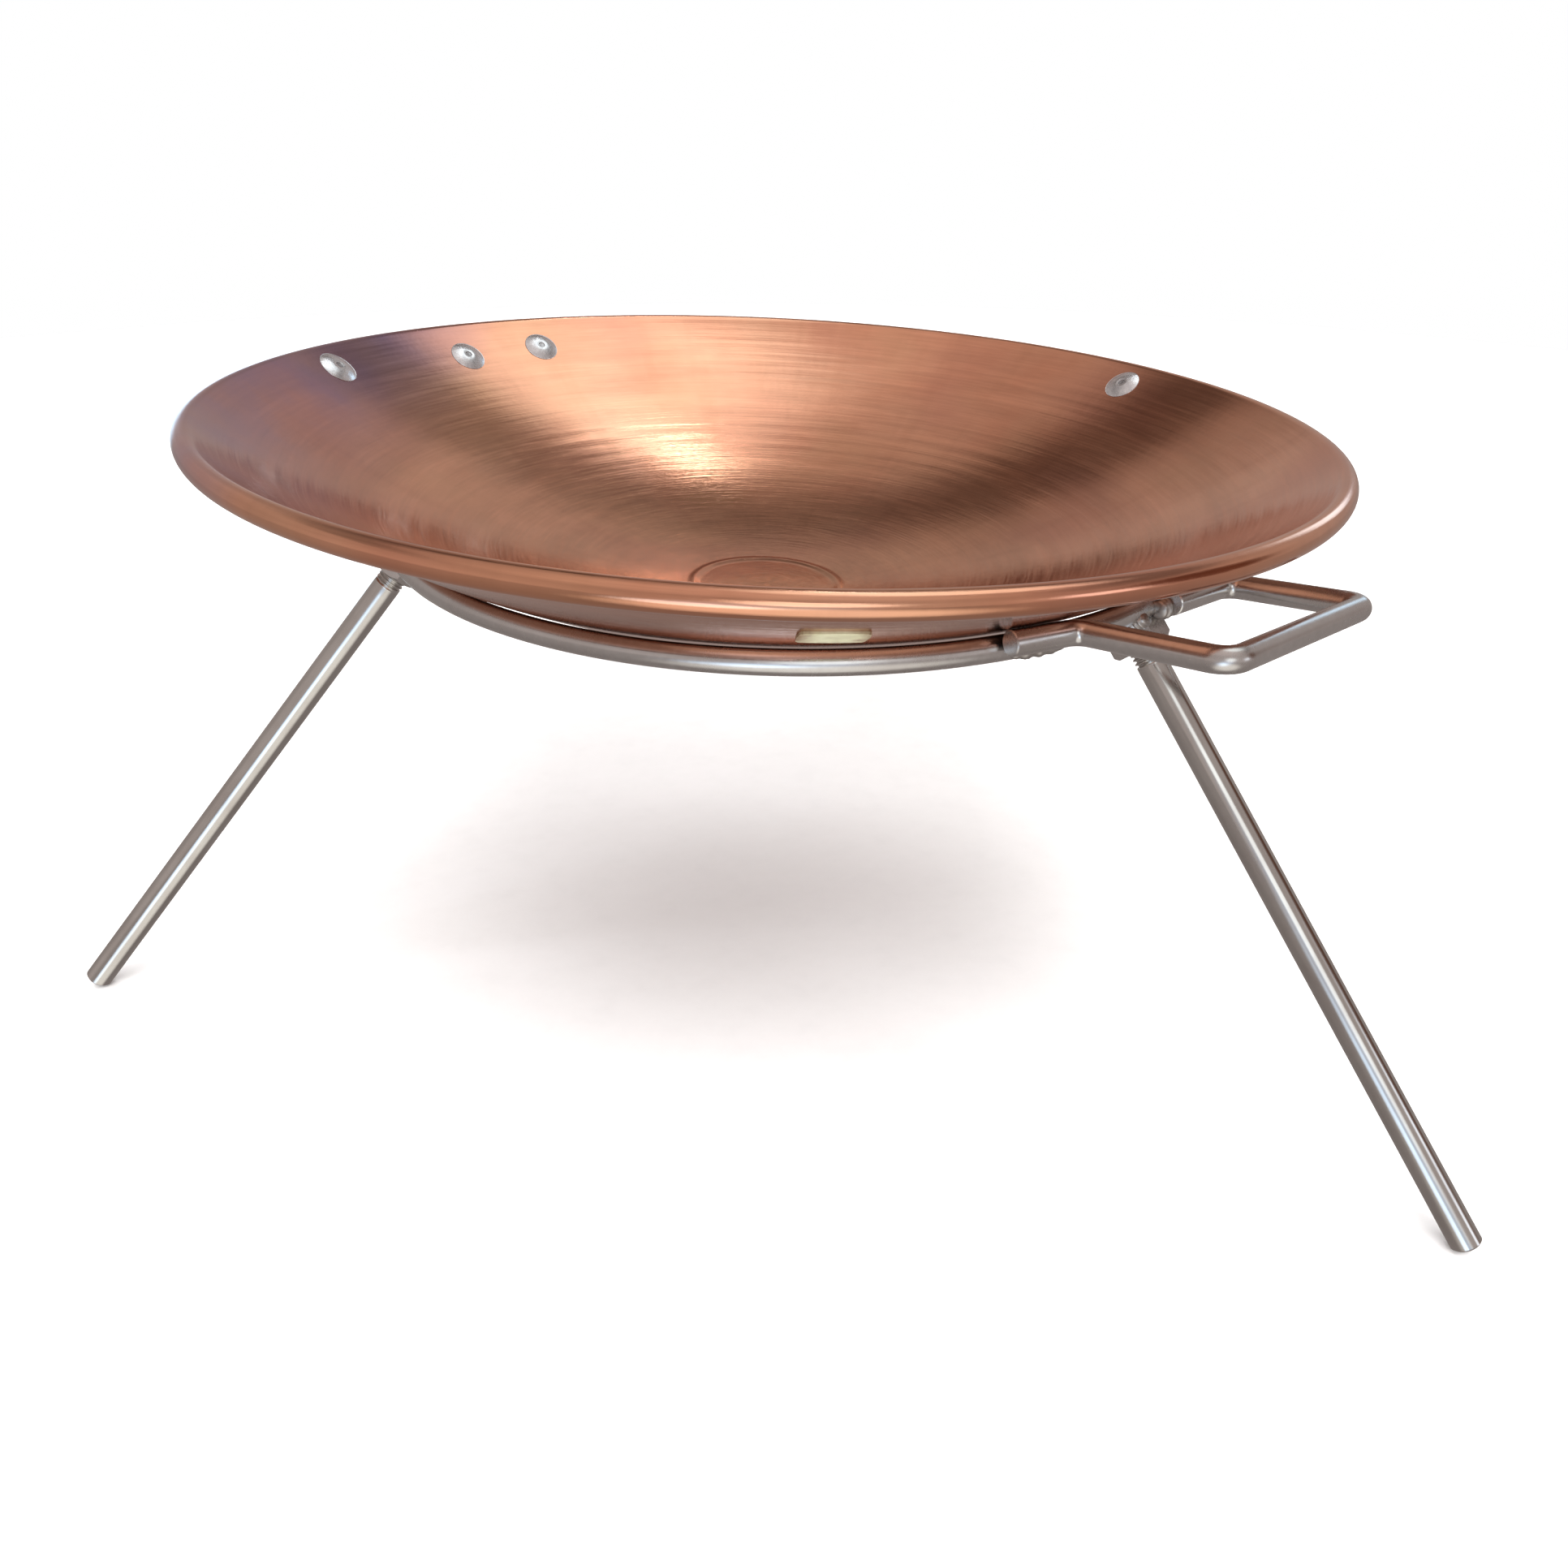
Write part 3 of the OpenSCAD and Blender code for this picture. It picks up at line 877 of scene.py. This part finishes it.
def aim(place_at, target):
    """A frame whose -Z points at a target."""
    back = (Vector(place_at) - Vector(target)).normalized()
    matrix = back.to_track_quat("Z", "Y").to_matrix().to_4x4()
    matrix.translation = Vector(place_at)
    return matrix


def soft_light(name, place_at, target, width, height, power, colour=(1, 1, 1)):
    """A rectangular lamp, in metres and watts, that isn't mirrored in the metal."""
    light = bpy.data.lights.new(name, "AREA")
    light.shape = "RECTANGLE"
    light.size = width
    light.size_y = height
    light.energy = power
    light.color = colour
    lamp = bpy.data.objects.new(name, light)
    lamp.matrix_world = aim(place_at, target)
    lamp.visible_glossy = False
    bpy.context.scene.collection.objects.link(lamp)


# patches of the room that are brighter or, below nought, darker than its walls: direction from +X,
# height above the horizon, how far the full and the faded brightness reach, all in degrees, then
# the brightness that they add, and their colour
PANELS = [
    (45, 66, 9, 22, 1.05, (0.86, 1.0, 1.02)),
    (74, 57, 2, 8, 0.6, (0.90, 1.0, 1.05)),
    (79, 56, 0.6, 2.2, 9.0, (0.95, 0.98, 1.0)),
    (52, 17, 2, 9, 1.8, (0.60, 0.90, 1.15)),
    (-27, 12, 4, 11, 1.3, (0.85, 0.97, 1.1)),
    (120, -2, 3, 12, 1.3, (0.60, 0.95, 1.2)),
    (-84, -38, 14, 40, 0.85, (1.0, 1.0, 0.92)),
    (110, 36, 6, 24, -0.12, (1.0, 1.0, 1.0)),
    (-80, 21, 8, 18, 1.3, (0.90, 1.0, 1.02)),
    (-102, -13, 6, 17, 1.5, (0.66, 0.90, 1.15)),
    (-90, 0, 5, 22, 0.4, (0.55, 0.90, 1.3)),
    (-2, 17, 9, 20, -0.34, (0.95, 1.0, 1.0)),
]
# brightness of the walls by the upward share of the direction, from straight down to straight up
BACK_WALL = [
    (-1.0, 0.30),
    (-0.05, 0.36),
    (0.0, 0.42),
    (0.25, 0.44),
    (0.54, 0.46),
    (0.64, 0.24),
    (0.72, 0.24),
    (0.82, 0.48),
    (0.90, 0.52),
    (1.0, 0.74),
]
FRONT_WALL = [(-1.0, 0.30), (-0.05, 0.40), (0.05, 0.56), (0.6, 0.50), (1.0, 0.74)]


def build_world():
    """A room of soft light: a wall behind the object, another in front of it, and their patches."""
    warm = (1.0, 0.88, 0.83)
    front_from, back_from = -0.35, 0.15
    world = bpy.data.worlds.new("studio")
    world.use_nodes = True
    bpy.context.scene.world = world
    tree = world.node_tree
    nodes, links = tree.nodes, tree.links
    direction = nodes.new("ShaderNodeTexCoord").outputs["Generated"]
    split = nodes.new("ShaderNodeSeparateXYZ")
    links.new(direction, split.inputs[0])

    upward = nodes.new("ShaderNodeMapRange")
    links.new(split.outputs[2], upward.inputs[0])
    upward.inputs[1].default_value = -1
    upward.inputs[2].default_value = 1

    def wall(stops):
        ramp = nodes.new("ShaderNodeValToRGB")
        ramp.color_ramp.interpolation = "EASE"
        elements = ramp.color_ramp.elements
        while len(elements) < len(stops):
            elements.new(0.5)
        for element, (spot, grey) in zip(elements, stops):
            element.position = (spot + 1) / 2
            element.color = (*(grey * share for share in warm), 1)
        links.new(upward.outputs[0], ramp.inputs[0])
        return ramp.outputs[0]

    facing = nodes.new("ShaderNodeMapRange")
    links.new(split.outputs[1], facing.inputs[0])
    facing.inputs[1].default_value = front_from
    facing.inputs[2].default_value = back_from
    total = nodes.new("ShaderNodeMix")
    total.data_type = "RGBA"
    links.new(facing.outputs[0], total.inputs[0])
    links.new(wall(FRONT_WALL), total.inputs[6])
    links.new(wall(BACK_WALL), total.inputs[7])
    light = total.outputs[2]

    for turn, height, full, faded, strength, colour in PANELS:
        level = cos_deg(height)
        dot = nodes.new("ShaderNodeVectorMath")
        dot.operation = "DOT_PRODUCT"
        links.new(direction, dot.inputs[0])
        dot.inputs[1].default_value = (level * cos_deg(turn), level * sin_deg(turn), sin_deg(height))
        spread = nodes.new("ShaderNodeMapRange")
        spread.interpolation_type = "SMOOTHSTEP"
        links.new(dot.outputs["Value"], spread.inputs[0])
        limits = (cos_deg(faded), cos_deg(full), 0, strength)
        for socket, number in zip(spread.inputs[1:5], limits):
            socket.default_value = number
        glow = nodes.new("ShaderNodeVectorMath")
        glow.operation = "SCALE"
        glow.inputs[0].default_value = colour
        links.new(spread.outputs[0], glow.inputs["Scale"])
        summed = nodes.new("ShaderNodeVectorMath")
        summed.operation = "ADD"
        links.new(light, summed.inputs[0])
        links.new(glow.outputs[0], summed.inputs[1])
        light = summed.outputs[0]
    links.new(light, nodes["Background"].inputs[0])

    # the camera sees plain white, and only light and reflections see the walls
    plain = nodes.new("ShaderNodeBackground")
    plain.inputs[0].default_value = (1, 1, 1, 1)
    seen = nodes.new("ShaderNodeMixShader")
    links.new(nodes.new("ShaderNodeLightPath").outputs["Is Camera Ray"], seen.inputs[0])
    links.new(nodes["Background"].outputs[0], seen.inputs[1])
    links.new(plain.outputs[0], seen.inputs[2])
    links.new(seen.outputs[0], nodes["World Output"].inputs[0])


def build_camera():
    """A camera in front of the object, looking down into the bowl.

    The focal length is a share of the picture's width.
    """
    focal_share = 0.748654
    place_at = Vector((36.88, -506.99, 316.55)) * METRES
    heading, down, roll = (math.radians(a) for a in (0.8475, 29.714, 0.331))
    level = Vector((-math.sin(heading), math.cos(heading), 0))
    forward = level * math.cos(down) - Vector((0, 0, math.sin(down)))
    right = Vector((math.cos(heading), math.sin(heading), 0))
    up = right.cross(forward)
    right = right * math.cos(roll) + up * math.sin(roll)
    up = right.cross(forward)
    matrix = Matrix((right, up, -forward)).transposed().to_4x4()
    matrix.translation = place_at
    data = bpy.data.cameras.new("camera")
    data.sensor_width = 36
    data.lens = focal_share * data.sensor_width
    data.clip_start = 0.01
    camera = bpy.data.objects.new("camera", data)
    camera.matrix_world = matrix
    bpy.context.scene.collection.objects.link(camera)
    bpy.context.scene.camera = camera


build_floor()
build_world()
soft_light("front_light", (0.2, -1.2, 2.2), (0, 0, 0.2), 2.2, 1.2, 54)
soft_light("left_light", (-1.9, -0.7, 1.3), (0, 0, 0.1), 0.8, 1.2, 16, (0.90, 0.95, 1.0))
soft_light("right_light", (1.9, -0.5, 1.5), (0, 0, 0.1), 0.8, 1.2, 16)
soft_light("back_light", (0, 1.8, 2.2), (0, 1.1, 0), 3.0, 1.0, 60)
build_camera()
bpy.context.scene.view_settings.view_transform = "Standard"
